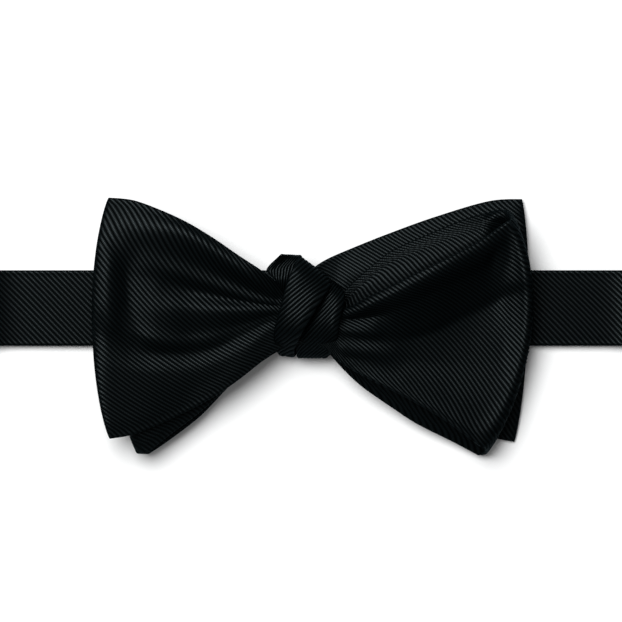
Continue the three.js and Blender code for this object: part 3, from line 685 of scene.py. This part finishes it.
def strip_rows(rows, along, cells, ring=False):
    """The middle surface of a strip of the knot."""
    seam_share = 0.3  # of a narrow row's width, at most, for the columns along a seam
    flatness = 3.6  # of the top between the two seams
    table = [rows[-1], *rows, rows[0], rows[1]] if ring else rows
    count = len(rows) if ring else len(rows) - 1
    place = np.linspace(0, count, along + 1) + (1 if ring else 0)
    left = smooth([r.left for r in table], place)
    right = smooth([r.right for r in table], place)
    puff = smooth([r.puff for r in table], place)[:, None]
    width = np.linalg.norm(right - left, axis=1)[:, None]
    # its ribs run almost along it, so its columns stand closer together than a blade's
    columns = np.concatenate([seam_columns[:4], np.arange(0.7, 1.95, 0.15)])
    reach = np.minimum(columns * np.ones_like(width), width * seam_share * columns / columns[-1])
    inner = np.linspace(0, 1, cells + 1)[1:-1] * (width - 2 * reach[:, -1:]) + reach[:, -1:]
    t = np.hstack([reach / width, inner / width, 1 - reach[:, ::-1] / width])
    points = left[:, None, :] * (1 - t)[..., None] + right[:, None, :] * t[..., None]
    points[..., 2] += puff * (1 - np.abs(2 * t - 1) ** flatness)
    return points


def knot_strip(name, rows, along, cells, slant, pitch, ring=False, waist=0, spread=1.0):
    """A strip of the knot, sewn: a closed ring, or a piece whose two ends are tucked away."""
    middle = strip_rows(rows, along, cells, ring)
    half = thickness(middle, cut_ends=not ring, cloth=cloth)
    pattern = cut_pattern(middle, 0, waist, spread)
    return sew(name, middle, half, pattern, [(0, along, 1)], slant, pitch)


slant, pitch = 67, 0.85
knot_wrap = knot_strip(
    "knot_wrap_silk", wrap_rows, along=150, cells=30, slant=slant, pitch=pitch, ring=True
)
knot_silk = black_silk("knot silk", Rib_slant=slant, Rib_pitch=pitch)
finish_cloth(
    knot_wrap,
    knot_silk,
    "knot_wrap",
)
slant, pitch = 66, 0.78
knot_pleat = knot_strip(
    "knot_pleat_silk", pleat_rows, along=90, cells=30, slant=slant, pitch=pitch, waist=4, spread=0.5
)
pleat_silk = black_silk("knot pleat silk", Rib_slant=slant, Rib_pitch=pitch)
finish_cloth(
    knot_pleat,
    pleat_silk,
    "knot_wrap",
)
slant, pitch = 76, 0.62
knot_turn = knot_strip(
    "knot_turn_silk", turn_rows, along=60, cells=60, slant=slant, pitch=pitch, waist=4, spread=0.45
)
turn_silk = black_silk("knot turn silk", Rib_slant=slant, Rib_pitch=pitch)
finish_cloth(
    knot_turn,
    turn_silk,
    "knot_turn",
)

# Neck band
# The tie's narrow middle, 20 mm wide, of the same ribbed silk, sewn as a flat tube. It is one loop
# of a 16 in neck, laid flat: its lower run lies on the surface and its upper run passes the knot.
# x and z of its middle line, from the middle of the lower run round the right end to the knot
band_line = [
    (0, 0.65), (30, 0.65), (60, 0.65), (80, 0.65), (88, 0.65), (92.4, 0.75), (96.4, 1.9),
    (98.8, 4.5), (97.8, 7.6), (94.8, 9.3), (91.2, 9.1), (87.8, 6.8), (85.2, 4.4), (82.4, 2.8),
    (79, 2.3), (73, 2.25), (60, 2.25), (40, 2.25), (24, 2.6), (14, 3.5), (8, 3.75), (0, 3.75),
]
band_cloth = 1.3
band_width, band_waist = 19.8, 15.0  # the waist is its width in the knot
narrows_from, narrow_at = 26, 6  # distances from the knot's middle
lower_run_top = 1.5
band_rows, band_cells = 320, 12
smoothings = 6
right_half = np.array(band_line, float)
left_half = (right_half[1:-1] * [-1, 1])[::-1]
ring = np.concatenate([right_half, left_half, right_half[:1]])
spots = np.concatenate([[0], np.cumsum(np.linalg.norm(np.diff(ring, axis=0), axis=1))])
at = np.linspace(0, spots[-1], band_rows + 1)
line = np.stack([np.interp(at, spots, ring[:, i]) for i in (0, 1)], axis=1)
for _ in range(smoothings):
    line[1:-1] = (line[:-2] + 2 * line[1:-1] + line[2:]) / 4
line[:, 1] = np.maximum(line[:, 1], band_cloth / 2)
line = line[::-1]
off_middle = np.abs(line[:, 0])
upper_run = line[:, 1] > lower_run_top
narrowed = np.clip((narrows_from - off_middle) / (narrows_from - narrow_at), 0, 1)
narrowed = narrowed**2 * (3 - 2 * narrowed)
wide = np.where(upper_run, band_width - (band_width - band_waist) * narrowed, band_width)[:, None]
inner = np.linspace(0, 1, band_cells + 1)[1:-1] * (wide - 2 * seam_columns[-1]) + seam_columns[-1]
t = np.hstack([seam_columns / wide, inner / wide, 1 - seam_columns[::-1] / wide])
flat_x, flat_z = (np.repeat(line[:, i : i + 1], t.shape[1], 1) for i in (0, 1))
middle = np.stack([flat_x, (t - 0.5) * wide, flat_z], 2)
half = thickness(middle, cut_ends=False, cloth=band_cloth)
pattern = cut_pattern(middle, pinch_row=0, waist=0, spread=1.0)
neck_band = sew("neck_band_silk", middle, half, pattern, [(0, len(middle) - 1, 1)], facets=4)
band_silk = black_silk("neck band silk")
finish_cloth(neck_band, band_silk, "neck_band")

# Table and light
# The table is plain and white. One large soft light stands to the upper left and a weak, even one comes
# from all round, as in the photo. The table looks lighter and warmer to the camera than to the cloth.
bpy.ops.object.select_all(action="DESELECT")
bpy.ops.mesh.primitive_plane_add(size=3, location=(0, 0, 0))
table = bpy.context.object
table.name = "table"
white = bpy.data.materials.new("white table")
white.use_nodes = True
paint = white.node_tree.nodes["Principled BSDF"]
view_ray = white.node_tree.nodes.new("ShaderNodeLightPath")
tone = white.node_tree.nodes.new("ShaderNodeMix")
tone.data_type = "RGBA"
tone.inputs["A"].default_value = (0.70, 0.78, 0.82, 1)
tone.inputs["B"].default_value = (0.97, 0.82, 0.79, 1)
white.node_tree.links.new(view_ray.outputs["Is Camera Ray"], tone.inputs["Factor"])
white.node_tree.links.new(tone.outputs["Result"], paint.inputs["Base Color"])
paint.inputs["Roughness"].default_value = 0.9
paint.inputs["Specular IOR Level"].default_value = 0
table.data.materials.append(white)
daylight = (0.84, 1.0, 1.04)
light_place = (-0.326, 0.389, 1.088)
aim = np.array(light_place) / np.linalg.norm(light_place)
bpy.ops.object.light_add(type="AREA", location=light_place)
light = bpy.context.object
light.name = "key light"
light.data.shape = "DISK"
light.data.size = 0.85
light.data.energy = 20.5
light.data.color = daylight
light.rotation_euler = (math.acos(aim[2]), 0, math.atan2(aim[1], aim[0]) + math.pi / 2)
world = bpy.data.worlds.new("studio")
world.use_nodes = True
world.node_tree.nodes["Background"].inputs["Color"].default_value = (*daylight, 1)
world.node_tree.nodes["Background"].inputs["Strength"].default_value = 0.24
bpy.context.scene.world = world

# Camera
# Straight above the knot, far off, with a long lens, so that the width seen at the height of the bow's
# cloth fills the photo's 622 pixels.
seen_width = 161.7
cloth_height = 12
camera_distance = 1200
knot_offset = -0.78
camera_place = (0, knot_offset * MM, (camera_distance + cloth_height) * MM)
bpy.ops.object.camera_add(location=camera_place, rotation=(0, 0, 0))
camera = bpy.context.object
camera.name = "camera"
camera.data.sensor_width = 36
camera.data.lens = camera.data.sensor_width * camera_distance / seen_width
camera.data.dof.use_dof = False
bpy.context.scene.camera = camera
bpy.context.scene.view_settings.view_transform = "Standard"
